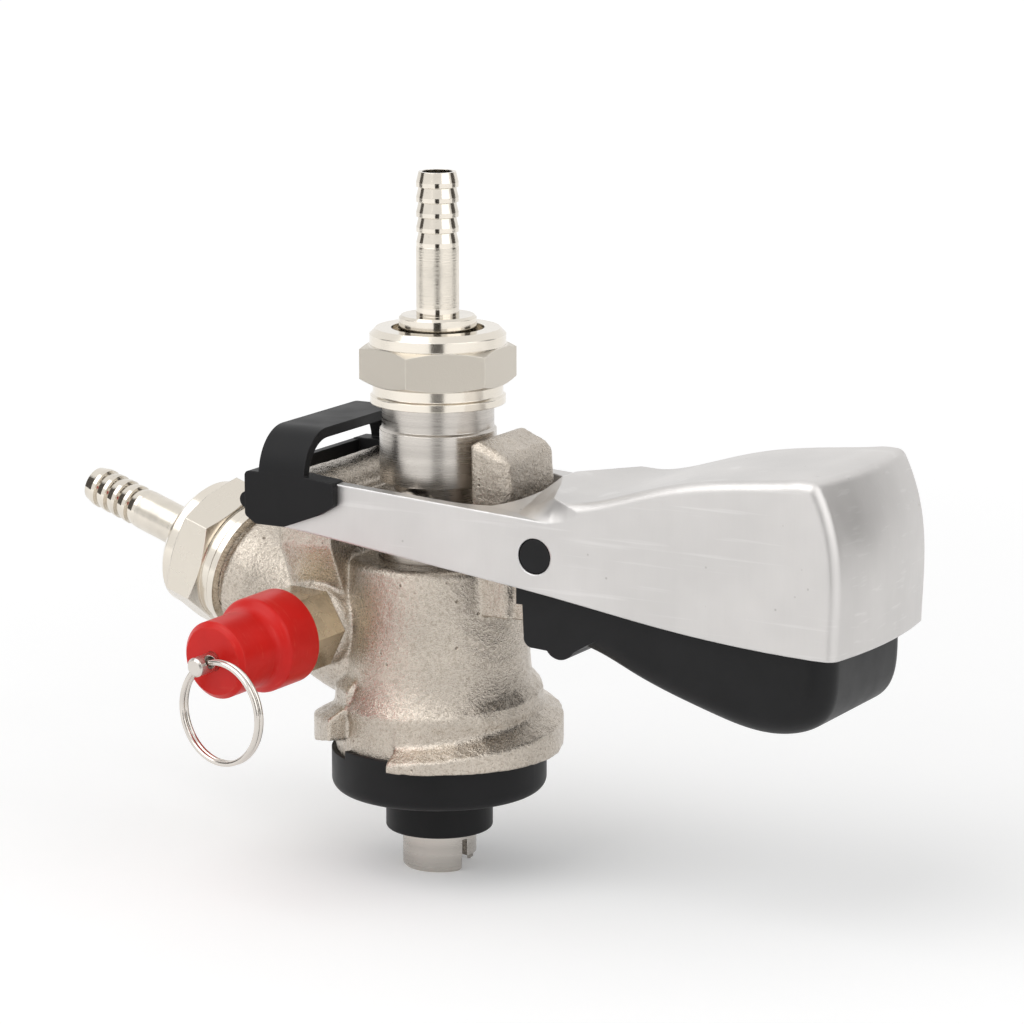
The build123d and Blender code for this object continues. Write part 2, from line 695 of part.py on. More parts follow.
def lever_studs():
    """Two studs set into the arms, facing the probe's groove."""
    studs = []
    for side in (1, -1):
        stud = turned((0, groove_r + 0.5), (stud_r - 0.5, groove_r + 0.5), (stud_r, groove_r + 1.0),
                      (stud_r, arm_in - seated), (stud_spigot_r, arm_in - seated),
                      (stud_spigot_r, arm_in + stud_sink - seated), (0, arm_in + stud_sink - seated))
        studs.append(Pos(stud_x, 0, stud_z) * Rot(-90 * side, 0, 0) * stud)
    return studs


def hinge_pin():
    """Steel pin through both arms and the body's knuckle."""
    pin = cross_rod(hinge_pin_r, hinge_x, hinge_z, arm_out - 0.1)
    return chamfer(pin.edges().filter_by(GeomType.CIRCLE), 0.4)


def cover_half():
    """Near end of the rubber hinge cover, a pocket over the arm's end."""
    outline = make_face(Plane.XZ * Polyline(
        (cover_back, cover_low + 1.6), (cover_back + 2.4, cover_low), (hinge_x, cover_low),
        (cover_front - 3.4, cover_low + cover_cut), (cover_front, cover_low + cover_cut + 2),
        (cover_front, cover_high - 0.8), (hinge_x + 3, cover_high), (cover_back, cover_high), close=True))
    cup = side_plate(outline, -arm_out - cover_t - 0.1, -arm_in)
    cup = fillet(cup.edges().filter_by(Axis.Y), 1.0)
    nub = Pos(cover_back + 0.4, -arm_out, hinge_z - 0.5) * Rot(90, 0, 0) * Cylinder(1.7, 3.2)
    room = side_plate(offset(make_face(arm_profile()), amount=0.1), -arm_out - 0.1, 0)
    return (cup + nub) - room


def cover_strap():
    """Flat strap that bridges the two ends over the top, with rounded corners."""
    half = arm_out + cover_t + 0.1
    outer = Pos(0, (strap_top + cover_low) / 2) * RectangleRounded(2 * half, strap_top - cover_low, strap_round)
    inner = Pos(0, (strap_top + cover_low) / 2 - strap_t) * RectangleRounded(
        2 * (half - strap_t), strap_top - cover_low, strap_round - strap_t)
    hoop = extrude(Plane.YZ * (outer - inner), strap_w / 2, both=True)
    hoop &= block(-50, 50, -50, 50, cover_high - 1.0, 90)
    return Pos(strap_x, 0, 0) * hoop


def hinge_cover():
    """Rubber cover: both ends, the strap over the top and the low band behind."""
    near = cover_half()
    far = mirror(near, Plane.XZ)
    band = block(cover_back + 0.2, cover_back + 1.8, -arm_in - 0.5, arm_in + 0.5,
                 band_z - band_h / 2, band_z + band_h / 2)
    return near + far + cover_strap() + band


# ---------------------------------------------------------------- trigger

def grip_profile(inset=0.0, rise=0.0):
    """Side outline of the trigger grip in the XZ plane, drawn inwards by inset, open upwards by rise."""
    front = trigger_front + inset
    rear = trigger_rear - inset
    flat = grip_top + rise
    bead = grip_top - finger_depth + inset
    heel = (front + 12.2, bead + 2.3)
    low = (rear - 9.4, grip_top - grip_depth + inset)
    end = (rear, grip_top - 2.3)
    chin = (front + 2.6, bead + 1.7)
    step = (front + 5.6, bead + 1.5)
    nose = (Polyline((front, flat), (front + 0.5, bead + 3.8))
            + ThreePointArc((front + 0.5, bead + 3.8), (front + 1.1, bead + 2.2), chin) + Line(chin, step)
            + ThreePointArc(step, (front + 8.4, bead), (front + 11.2, bead + 1.7))
            + Line((front + 11.2, bead + 1.7), heel))
    belly = Spline(heel, between(heel, low, 0.245, 0.353), between(heel, low, 0.61, 0.815), low,
                   (rear - 2.0, low[1] + 3.8), (rear, end[1] - 8.0), end, tangents=[(1, -0.25), (-0.02, 1)])
    lid = [end, ((front + rear) / 2, flat), (front, flat)]
    if rise > 0:
        lid.insert(1, (rear, end[1] + rise))
    return Plane.XZ * (nose + belly + Polyline(*lid))


def trigger():
    """Moulded trigger: hollow grip, ears round the pivot and the tooth under the catch."""
    grip = side_plate(make_face(grip_profile()), -trigger_half, trigger_half)
    lower = grip.edges().filter_by(lambda e: abs(abs(e.center().Y) - trigger_half) < 0.1
                                   and e.center().Z < 44 and e.center().X > 45)
    grip = fillet(lower, grip_round)
    grip -= side_plate(make_face(grip_profile(trigger_t, 12)), -trigger_half + trigger_t,
                       trigger_half - trigger_t)
    ears = cross_rod(pivot_r + ear_wall, pivot_x, pivot_z, trigger_half)
    ears += block(pivot_x - pivot_r - 2, pivot_x + pivot_r + 2.5, -trigger_half, trigger_half, 44, pivot_z)
    ears -= block(0, 100, -trigger_half + 3.2, trigger_half - 3.2, 30, 80)
    tooth = block(catch_x + 0.3, trigger_front + 1.5, -4.5, 4.5, 36.2, catch_low - 0.3)
    solid = grip + ears + tooth
    return solid - cross_rod(pivot_r + running, pivot_x, pivot_z, arm_out)


def trigger_pin():
    """Black pin that the trigger turns on, flush with the arms."""
    pin = cross_rod(pivot_r, pivot_x, pivot_z, arm_out - 0.15)
    return chamfer(pin.edges().filter_by(GeomType.CIRCLE), 0.3)


def trigger_spring():
    """Torsion spring on the trigger's pin, one leg on the grip's floor, one under the top wall."""
    wire = 0.5
    radius = pivot_r + 0.3 + wire
    path = Helix(pitch=1.15, height=4.6, radius=radius)
    start = path @ 0
    coil = sweep(Plane(origin=start, z_dir=path % 0) * Circle(wire), path=path)
    leg = Pos(start.X, start.Y, start.Z) * Rot(90, 0, 0) * Cylinder(
        wire, 12, align=(Align.CENTER, Align.CENTER, Align.MIN))
    return Pos(pivot_x, 2.3, pivot_z) * Rot(90, 0, 0) * Rot(0, 0, 40) * (coil + leg)


def save(name, shapes):
    """Write one node; several solids become one compound."""
    if isinstance(shapes, list):
        shapes = Compound(children=shapes)
    export_step(shapes, "parts/" + name + ".step")


def main():
    os.makedirs("parts", exist_ok=True)
    beer_line = Pos(0, 0, beer_nut_z)
    gas_end = gas_line * Pos(0, 0, gas_face + gas_nut_gap) * Rot(0, 0, gas_hex_turn)
    save("coupler_body", coupler_body())
    save("body_seal", body_seal())
    save("probe", probe())
    save("probe_seal", probe_seal())
    save("probe_orings", probe_rings())
    save("beer_check_ball", Pos(0, 0, ball_seat_z()) * Sphere(ball_r))
    save("beer_nut", beer_line * Rot(0, 0, 36) * union_nut())
    save("beer_tail", beer_line * hose_tail())
    save("beer_washer", beer_line * washer())
    save("gas_nut", gas_end * union_nut())
    save("gas_tail", gas_end * hose_tail())
    save("gas_washer", gas_end * washer())
    save("gas_check_valve", gas_line * gas_valve())
    save("prv_body", prv_line * prv_body())
    save("prv_cap", prv_line * prv_cap())
    save("prv_stem", prv_line * prv_stem())
    save("prv_valve_disc", prv_line * prv_disc())
    save("prv_spring", prv_line * prv_spring())
    save("prv_split_ring", prv_line * split_ring())
    save("lever", lever())
    save("lever_studs", lever_studs())
    save("hinge_pin", hinge_pin())
    save("hinge_cover", hinge_cover())
    save("trigger", trigger())
    save("trigger_pin", trigger_pin())
    save("trigger_spring", trigger_spring())


if __name__ == "__main__":
    main()
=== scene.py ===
"""Finishes, cast surfaces and studio for a keg coupler."""
import json
import math

import bpy
import numpy as np
from bpy.props import FloatProperty, FloatVectorProperty, PointerProperty
from mathutils import Matrix, Vector


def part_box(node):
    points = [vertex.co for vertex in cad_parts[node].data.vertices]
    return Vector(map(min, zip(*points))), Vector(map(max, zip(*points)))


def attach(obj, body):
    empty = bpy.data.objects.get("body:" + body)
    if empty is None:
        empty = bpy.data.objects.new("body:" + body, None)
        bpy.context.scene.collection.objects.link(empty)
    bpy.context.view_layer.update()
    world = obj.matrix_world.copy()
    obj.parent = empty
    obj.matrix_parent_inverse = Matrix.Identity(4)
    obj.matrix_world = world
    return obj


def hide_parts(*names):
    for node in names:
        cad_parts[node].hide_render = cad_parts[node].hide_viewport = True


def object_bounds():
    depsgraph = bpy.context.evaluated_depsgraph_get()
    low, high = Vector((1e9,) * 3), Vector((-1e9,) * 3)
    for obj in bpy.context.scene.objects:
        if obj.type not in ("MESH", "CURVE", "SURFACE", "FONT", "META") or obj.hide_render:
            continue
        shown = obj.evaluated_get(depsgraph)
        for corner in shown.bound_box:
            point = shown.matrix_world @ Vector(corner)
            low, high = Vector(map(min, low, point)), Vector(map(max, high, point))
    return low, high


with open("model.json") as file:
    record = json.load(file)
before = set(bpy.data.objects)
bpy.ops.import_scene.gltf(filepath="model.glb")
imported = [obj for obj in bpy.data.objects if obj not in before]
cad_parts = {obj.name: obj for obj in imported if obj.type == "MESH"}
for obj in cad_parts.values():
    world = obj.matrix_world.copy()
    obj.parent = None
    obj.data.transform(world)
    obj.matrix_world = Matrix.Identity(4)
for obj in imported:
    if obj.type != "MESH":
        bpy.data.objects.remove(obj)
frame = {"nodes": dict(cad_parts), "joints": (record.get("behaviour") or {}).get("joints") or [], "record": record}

bl_info = {
    "name": "Keg coupler finishes",
    "version": (1, 0, 0),
    "blender": (4, 5, 0),
    "location": "3D View > Sidebar > Coupler",
    "description": "Finishes, cast surfaces and a plain studio for a keg coupler",
    "category": "Object",
}

MM = 0.001
NODES = frame["nodes"]
MOUNTS = {m["name"]: m for m in frame["record"]["mounts"]}
JOINTS = {j["name"]: j for j in frame["joints"]}
UP = Vector((0, 0, 1))
LOW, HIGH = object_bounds()
FLOOR_Z = LOW.z
GAS_TAIL = Vector(MOUNTS["gas_hose_tail"]["pos_m"])
GAS_AXIS = Vector(MOUNTS["gas_hose_tail"]["axis"]).normalized()
BEER_TAIL = Vector(MOUNTS["beer_hose_tail"]["pos_m"])
VALVE_AXIS = Vector(JOINTS["prv_stem_slide"]["axis"]).normalized()
PROBE_R = (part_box("probe")[1].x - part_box("probe")[0].x) / 2
NUT_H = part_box("beer_nut")[1].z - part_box("beer_nut")[0].z
NUT_TO_TAIL = BEER_TAIL.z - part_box("beer_nut")[0].z
FLOOR_FADE = (0.16, 0.9)            # distances between which the floor's own white rises
FLOOR_LIFT = (0.14, 0.42)           # and its strength at each
FLOOR_SIZE = 16
WELD_GAP = 0.002 * MM
RELAX_SHARE = 0.5
RELAX_TURNS = 2
LUMP_CELL, LUMP_DEPTH = 1.2 * MM, 0.17 * MM
SWELL_CELL, SWELL_DEPTH = 7.0 * MM, 0.20 * MM
BORE_MARGIN = 1.2 * MM              # the casting stays round this near to the probe
BORE_GAP = 0.12 * MM
LATTICE = 32
KEY_LAMP = (math.radians(-25), math.radians(52), 1.0, 0.95)     # azimuth, rise, distance, size
FILL_LAMP = (math.radians(80), math.radians(30), 1.2, 1.0)
FILL_SHARE = 0.6
FRONT_CARD = (0.0, 0.42, 0.17, 0.36, 0.05)                      # rise, distance, width, height, tone
SIDE_CARD = (0.2, 0.9, 0.40, 1.2, 0.10)
SIDE_TURN = 1.75


# ---------------------------------------------------------------- settings

def colour(name, note, value):
    """Colour property in linear light."""
    return FloatVectorProperty(name=name, description=note, subtype="COLOR", size=3, min=0, max=1,
                               default=value)


def length(name, note, value):
    """Length property in metres."""
    return FloatProperty(name=name, description=note, unit="LENGTH", subtype="DISTANCE", min=0,
                         default=value, precision=5)


class CouplerTints(bpy.types.PropertyGroup):
    """Colours of the finishes."""
    nickel: colour("Cast nickel", "Plated casting", (0.57, 0.51, 0.44))
    plate: colour("Bright nickel", "Nuts and hose tails", (0.76, 0.705, 0.62))
    steel: colour("Steel", "Turned stainless steel", (0.56, 0.525, 0.485))
    aluminium: colour("Aluminium", "Lever casting", (0.64, 0.622, 0.607))
    plastic: colour("Black plastic", "Trigger and its pin", (0.0075, 0.0075, 0.008))
    rubber: colour("Black rubber", "Seals and hinge cover", (0.0065, 0.0065, 0.007))
    red: colour("Red plastic", "Relief valve cap", (0.66, 0.010, 0.006))
    brass: colour("Plated brass", "Relief valve body", (0.50, 0.43, 0.32))


class CouplerSizes(bpy.types.PropertyGroup):
    """Sizes of the surface detail."""
    cast_lump: length("Cast lumps", "Width of the lumps on the rough casting", 0.62 * MM)
    cast_depth: length("Cast depth", "Depth of the casting's roughness", 0.30 * MM)
    turning_pitch: length("Turning pitch", "Distance between the lathe's marks", 0.45 * MM)
    edge_width: length("Edge width", "Width of the worn edges", 0.45 * MM)
    skin_cell: length("Skin cell", "Cell of the casting's new surface", 0.46 * MM)


class CouplerStudio(bpy.types.PropertyGroup):
    """Camera and lamps."""
    azimuth: FloatProperty(name="Azimuth", description="Camera's turn about the part", unit="ROTATION",
                           subtype="ANGLE", default=math.radians(29.0))
    elevation: FloatProperty(name="Elevation", description="Camera's height angle", unit="ROTATION",
                             subtype="ANGLE", default=math.radians(11.7))
    distance: length("Distance", "Camera's distance from the part's origin", 0.844)
    aside: length("Aside", "Camera's place to the right of the origin", 0.01457)
    above: length("Above", "Camera's place above the origin, along its own upright", 0.05486)
    lens: FloatProperty(name="Lens", description="Focal length in millimetres", subtype="NONE",
                        default=147.66, min=1)
    sky: FloatProperty(name="Sky", description="Strength of the even light", default=0.62, min=0)
    key: FloatProperty(name="Key", description="Key lamp's power in watts", default=4.2, min=0)


def tints():
    """The scene's colours."""
    return bpy.context.scene.coupler_tints


def sizes():
    """The scene's detail sizes."""
    return bpy.context.scene.coupler_sizes


# ---------------------------------------------------------------- shader tools

def node(tree, kind, inputs=None, **settings):
    """Add a shader node; inputs maps socket names or numbers to values or to output sockets."""
    made = tree.nodes.new("ShaderNode" + kind)
    for key, value in settings.items():
        setattr(made, key, value)
    for key, value in (inputs or {}).items():
        if isinstance(value, bpy.types.NodeSocket):
            tree.links.new(value, made.inputs[key])
        else:
            made.inputs[key].default_value = value
    return made


def calc(tree, operation, first, second=0.0, clamp=False):
    """Math node on two values or sockets; returns its output."""
    return node(tree, "Math", {0: first, 1: second}, operation=operation, use_clamp=clamp).outputs[0]


def fit(tree, value, low, high, to_low=0.0, to_high=1.0):
    """Map Range node from low..high to to_low..to_high, clamped."""
    return node(tree, "MapRange", {"Value": value, "From Min": low, "From Max": high,
                                   "To Min": to_low, "To Max": to_high}).outputs[0]


def blend_colour(tree, share, first, second):
    """Mix of two colours by a share."""
    made = node(tree, "Mix", {"Factor": share}, data_type="RGBA")
    for number, value in ((6, first), (7, second)):
        if isinstance(value, bpy.types.NodeSocket):
            tree.links.new(value, made.inputs[number])
        else:
            made.inputs[number].default_value = (*value[:3], 1)
    return made.outputs[2]


def group(name, inputs, outputs, fill):
    """Shared effect: a node group with named sockets, filled once and then reused."""
    tree = bpy.data.node_groups.get(name)
    if tree:
        return tree
    tree = bpy.data.node_groups.new(name, "ShaderNodeTree")
    for label, kind, value in inputs:
        socket = tree.interface.new_socket(name=label, in_out="INPUT", socket_type="NodeSocket" + kind)
        if value is not None:
            socket.default_value = value
    for label in outputs:
        tree.interface.new_socket(name=label, in_out="OUTPUT", socket_type="NodeSocketFloat")
    source = tree.nodes.new("NodeGroupInput").outputs
    sink = tree.nodes.new("NodeGroupOutput").inputs
    for label, value in fill(tree, source).items():
        tree.links.new(value, sink[label])
    return tree


def use(tree, effect, **values):
    """Place a shared effect in a material; returns its outputs."""
    made = tree.nodes.new("ShaderNodeGroup")
    made.node_tree = effect
    for key, value in values.items():
        label = key.replace("_", " ")
        if isinstance(value, bpy.types.NodeSocket):
            tree.links.new(value, made.inputs[label])
        else:
            made.inputs[label].default_value = value
    return made.outputs


def noise(tree, place, scale, detail=2.0, rough=0.5):
    """Noise texture of a scale in cells per metre."""
    return node(tree, "TexNoise", {"Vector": place, "Scale": scale, "Detail": detail,
                                   "Roughness": rough}).outputs[0]


# ---------------------------------------------------------------- shared effects

def fill_cast_skin(tree, source):
    """Height = wide lumps + grain - pits; Pits = seldom round holes; Hollow Shade = painted shade in the skin's
    low spots.
    """
    cells = calc(tree, "DIVIDE", 1.0, source["Lump"])
    lumps = noise(tree, source["Place"], cells, 2.5, 0.62)
    grain = noise(tree, source["Place"], calc(tree, "MULTIPLY", cells, 3.1), 2.0, 0.6)
    spots = node(tree, "TexVoronoi", {"Vector": source["Place"],
                                      "Scale": calc(tree, "MULTIPLY", cells, 0.42)}, feature="F1")
    lucky = node(tree, "SeparateColor", {0: spots.outputs["Color"]}).outputs[0]
    chosen = calc(tree, "LESS_THAN", lucky, source["Pit Share"])
    pits = calc(tree, "MULTIPLY", chosen, fit(tree, spots.outputs["Distance"], 0.10, 0.24, 1.0, 0.0))
    high = calc(tree, "ADD", calc(tree, "MULTIPLY", lumps, 0.62), calc(tree, "MULTIPLY", grain, 0.38))
    return {"Height": calc(tree, "SUBTRACT", high, calc(tree, "MULTIPLY", pits, 0.7)),
            "Pits": pits,
            # painted shade: the skin's low spots, which the material darkens brown
            "Hollow Shade": fit(tree, high, 0.36, 0.50, 1.0, 0.0)}


def cast_skin():
    """Rough surface of a sand or gravity casting."""
    return group("Cast Skin", [("Place", "Vector", None), ("Lump", "Float", MM),
                               ("Pit Share", "Float", 0.08)],
                 ["Height", "Pits", "Hollow Shade"], fill_cast_skin)


def fill_edge_wear(tree, source):
    """Mask = 1 - dot(rounded normal, true normal), widened and broken up by noise."""
    rounded = node(tree, "Bevel", {"Radius": source["Width"]}, samples=6).outputs[0]
    plain = node(tree, "NewGeometry").outputs["Normal"]
    same = node(tree, "VectorMath", {0: rounded, 1: plain}, operation="DOT_PRODUCT").outputs["Value"]
    bare = fit(tree, calc(tree, "SUBTRACT", 1.0, same), 0.01, 0.12)
    patch = fit(tree, noise(tree, source["Place"], source["Patches"], 3.0, 0.6), 0.34, 0.62, 0.25, 1.0)
    return {"Mask": calc(tree, "MULTIPLY", bare, patch, clamp=True)}


def edge_wear():
    """Edges rubbed bright by handling."""
    return group("Edge Wear", [("Place", "Vector", None), ("Width", "Float", 0.4 * MM),
                               ("Patches", "Float", 300.0)], ["Mask"], fill_edge_wear)


def fill_turning(tree, source):
    """Height = one-dimensional noise along the axis; Tone = the same at a wider pitch."""
    across = node(tree, "SeparateXYZ", {0: source["Place"]}).outputs[2]
    steps = calc(tree, "DIVIDE", across, source["Pitch"])
    fine = node(tree, "TexNoise", {"W": steps, "Scale": 1.0, "Detail": 3.0, "Roughness": 0.7},
                noise_dimensions="1D").outputs[0]
    wide = node(tree, "TexNoise", {"W": steps, "Scale": 0.17, "Detail": 1.0},
                noise_dimensions="1D").outputs[0]
    return {"Height": fine, "Tone": wide}


def turning():
    """Rings left by the lathe, square to the local Z axis."""
    return group("Turning Marks", [("Place", "Vector", None), ("Pitch", "Float", 0.4 * MM)],
                 ["Height", "Tone"], fill_turning)


def fill_handling(tree, source):
    """Smudge = soft wide noise; Specks = seldom small dots; Scuffs = long thin marks."""
    smudge = noise(tree, source["Place"], source["Smudges"], 3.0, 0.55)
    dots = node(tree, "TexVoronoi", {"Vector": source["Place"],
                                     "Scale": calc(tree, "MULTIPLY", source["Smudges"], 3.2)})
    lucky = node(tree, "SeparateColor", {0: dots.outputs["Color"]}).outputs[1]
    near = fit(tree, dots.outputs["Distance"], 0.03, 0.09, 1.0, 0.0)
    specks = calc(tree, "MULTIPLY", near, calc(tree, "LESS_THAN", lucky, 0.10))
    drawn = node(tree, "Mapping", {"Vector": source["Place"], "Scale": (0.12, 0.5, 3.0)}).outputs[0]
    scuffs = fit(tree, noise(tree, drawn, calc(tree, "MULTIPLY", source["Smudges"], 6.0), 2.0, 0.7),
                 0.60, 0.72)
    return {"Smudge": smudge, "Specks": specks, "Scuffs": scuffs}


def handling():
    """Marks of use: smudges, specks and scuffs."""
    return group("Handling", [("Place", "Vector", None), ("Smudges", "Float", 60.0)],
                 ["Smudge", "Specks", "Scuffs"], fill_handling)


def fill_moulded(tree, source):
    """Height = fine noise of a moulded skin with a faint wide sink."""
    fine = noise(tree, source["Place"], calc(tree, "DIVIDE", 1.0, source["Grain"]), 2.0, 0.5)
    wide = noise(tree, source["Place"], calc(tree, "DIVIDE", 0.05, source["Grain"]), 1.0, 0.5)
    return {"Height": calc(tree, "ADD", calc(tree, "MULTIPLY", fine, 0.35), wide), "Sink": wide}


def moulded():
    """Skin of a moulded plastic or rubber piece."""
    return group("Moulded Skin", [("Place", "Vector", None), ("Grain", "Float", 0.25 * MM)],
                 ["Height", "Sink"], fill_moulded)


# ---------------------------------------------------------------- materials

def new_material(name):
    """Material with a Principled shader wired to its output; returns the material, tree and shader."""
    made = bpy.data.materials.new(name)
    made.use_nodes = True
    tree = made.node_tree
    tree.nodes.clear()
    shader = node(tree, "BsdfPrincipled")
    sink = tree.nodes.new("ShaderNodeOutputMaterial")
    tree.links.new(shader.outputs[0], sink.inputs[0])
    return made, tree, shader


def placed(tree, origin=(0, 0, 0), axis=UP):
    """Object coordinates, shifted and turned so that origin is zero and axis is local Z."""
    turn = Vector(axis).rotation_difference(UP)
    shift = -(turn @ Vector(origin))
    source = node(tree, "TexCoord").outputs["Object"]
    return node(tree, "Mapping", {"Vector": source, "Location": shift,
                                  "Rotation": turn.to_euler()}).outputs[0]


def wire(tree, shader, **sockets):
    """Feed the shader's sockets; plain numbers and colours are set on the socket itself."""
    for key, value in sockets.items():
        label = key.replace("_", " ")
        if isinstance(value, bpy.types.NodeSocket):
            tree.links.new(value, shader.inputs[label])
        else:
            shader.inputs[label].default_value = (*value[:3], 1) if label == "Base Color" else value


def bumped(tree, height, depth, edge=None, strength=1.0):
    """Normal from a height of that depth in metres, over edges rounded by the width edge."""
    values = {"Height": height, "Distance": depth, "Strength": strength}
    if edge:
        values["Normal"] = node(tree, "Bevel", {"Radius": edge}, samples=6).outputs[0]
    return node(tree, "Bump", values).outputs[0]


def shade(value, share):
    """Colour multiplied by a share."""
    return tuple(channel * share for channel in value[:3])


def cast_nickel():
    """Nickel over a rough brass casting: lumps and grain, bright rubbed edges, painted brown shade in the skin's
    low spots and painted dark shade in the pits.
    """
    made, tree, shader = new_material("Rough cast nickel")
    place = placed(tree)
    skin = use(tree, cast_skin(), Place=place, Lump=sizes().cast_lump, Pit_Share=0.05)
    worn = use(tree, edge_wear(), Place=place, Width=1.1 * MM, Patches=420.0)["Mask"]
    marks = use(tree, handling(), Place=place, Smudges=70.0)
    base = blend_colour(tree, fit(tree, marks["Smudge"], 0.35, 0.65), shade(tints().nickel, 0.93),
                        shade(tints().nickel, 1.08))
    # painted shade: the low spots of the skin darkened brown
    base = blend_colour(tree, calc(tree, "MULTIPLY", skin["Hollow Shade"], 0.50), base, (0.27, 0.215, 0.155))
    # painted shade: the pits are made dark brown inside
    base = blend_colour(tree, calc(tree, "MULTIPLY", skin["Pits"], 0.60), base, (0.17, 0.13, 0.09))
    base = blend_colour(tree, calc(tree, "MULTIPLY", worn, 0.75), base, (0.86, 0.80, 0.70))
    rough = fit(tree, calc(tree, "ADD", skin["Hollow Shade"], marks["Smudge"]), 0.3, 1.4, 0.20, 0.38)
    rough = calc(tree, "SUBTRACT", rough, calc(tree, "MULTIPLY", worn, 0.10))
    wire(tree, shader, Base_Color=base, Metallic=1.0, Roughness=rough,
         Normal=bumped(tree, skin["Height"], sizes().cast_depth, 0.3 * MM, 0.95))
    return made


def nut_plate(name, origin, axis, frosted):
    """Nickel plate on a turned nut: polished rings, flats frosted by the blank's own surface."""
    made, tree, shader = new_material(name)
    place = placed(tree, origin, axis)
    rings = use(tree, turning(), Place=place, Pitch=sizes().turning_pitch)
    skin = use(tree, cast_skin(), Place=place, Lump=0.42 * MM, Pit_Share=0.05)
    marks = use(tree, handling(), Place=place, Smudges=110.0)
    worn = use(tree, edge_wear(), Place=place, Width=sizes().edge_width, Patches=260.0)["Mask"]
    local = node(tree, "SeparateXYZ", {0: place})
    centre = NUT_H * 0.52
    off = calc(tree, "ABSOLUTE", calc(tree, "SUBTRACT", local.outputs[2], centre))
    flat = fit(tree, off, NUT_H * 0.245, NUT_H * 0.262, 1.0, 0.0)
    flat = calc(tree, "MULTIPLY", flat, frosted)
    base = blend_colour(tree, flat, tints().plate, shade(tints().plate, 0.83))
    base = blend_colour(tree, calc(tree, "MULTIPLY", marks["Specks"], 0.5), base, (0.2, 0.16, 0.12))
    base = blend_colour(tree, calc(tree, "MULTIPLY", worn, 0.6), base, (0.90, 0.86, 0.78))
    height = calc(tree, "ADD", calc(tree, "MULTIPLY", skin["Height"], flat),
                  calc(tree, "MULTIPLY", rings["Height"], 0.10))
    rough = calc(tree, "ADD", fit(tree, flat, 0.0, 1.0, 0.13, 0.36),
                 calc(tree, "MULTIPLY", marks["Smudge"], 0.08))
    wire(tree, shader, Base_Color=base, Metallic=1.0, Roughness=rough,
         Normal=bumped(tree, height, 0.035 * MM, 0.25 * MM))
    return made


def tail_plate(name, origin, axis):
    """Mirror nickel on a hose tail, with close turning marks on the plain shank only."""
    made, tree, shader = new_material(name)
    place = placed(tree, origin, axis)
    rings = use(tree, turning(), Place=place, Pitch=0.30 * MM)
    marks = use(tree, handling(), Place=place, Smudges=160.0)
    along = node(tree, "SeparateXYZ", {0: place}).outputs[2]
    half = MOUNTS["beer_hose_tail"]["dims"]["length_mm"] * MM / 2
    shank = fit(tree, calc(tree, "ABSOLUTE", calc(tree, "SUBTRACT", along, 0.1 * half)),
                0.84 * half, 0.90 * half, 1.0, 0.06)
    base = blend_colour(tree, fit(tree, marks["Smudge"], 0.4, 0.7), tints().plate,
                        shade(tints().plate, 0.86))
    base = blend_colour(tree, calc(tree, "MULTIPLY", marks["Specks"], 0.35), base, (0.24, 0.18, 0.13))
    height = calc(tree, "MULTIPLY", rings["Height"], shank)
    rough = calc(tree, "ADD", fit(tree, shank, 0.0, 1.0, 0.09, 0.20),
                 calc(tree, "MULTIPLY", marks["Smudge"], 0.05))
    wire(tree, shader, Base_Color=base, Metallic=1.0, Roughness=rough,
         Normal=bumped(tree, height, 0.045 * MM, 0.12 * MM))
    return made


def turned_steel(name, pitch, tone, rough_low, rough_high, origin=(0, 0, 0), axis=UP):
    """Turned stainless steel: rings round the axis, soft stains, clean edges."""
    made, tree, shader = new_material(name)
    place = placed(tree, origin, axis)
    rings = use(tree, turning(), Place=place, Pitch=pitch)
    marks = use(tree, handling(), Place=place, Smudges=90.0)
    worn = use(tree, edge_wear(), Place=place, Width=0.3 * MM, Patches=200.0)["Mask"]
    base = blend_colour(tree, fit(tree, rings["Tone"], 0.3, 0.7), shade(tone, 0.90), shade(tone, 1.06))
    base = blend_colour(tree, calc(tree, "MULTIPLY", marks["Specks"], 0.45), base, (0.22, 0.17, 0.13))
    base = blend_colour(tree, calc(tree, "MULTIPLY", worn, 0.5), base, (0.88, 0.86, 0.82))
    rough = fit(tree, calc(tree, "ADD", marks["Smudge"], rings["Height"]), 0.6, 1.4, rough_low, rough_high)
    wire(tree, shader, Base_Color=base, Metallic=1.0, Roughness=rough,
         Normal=bumped(tree, rings["Height"], 0.005 * MM, 0.2 * MM))
    return made


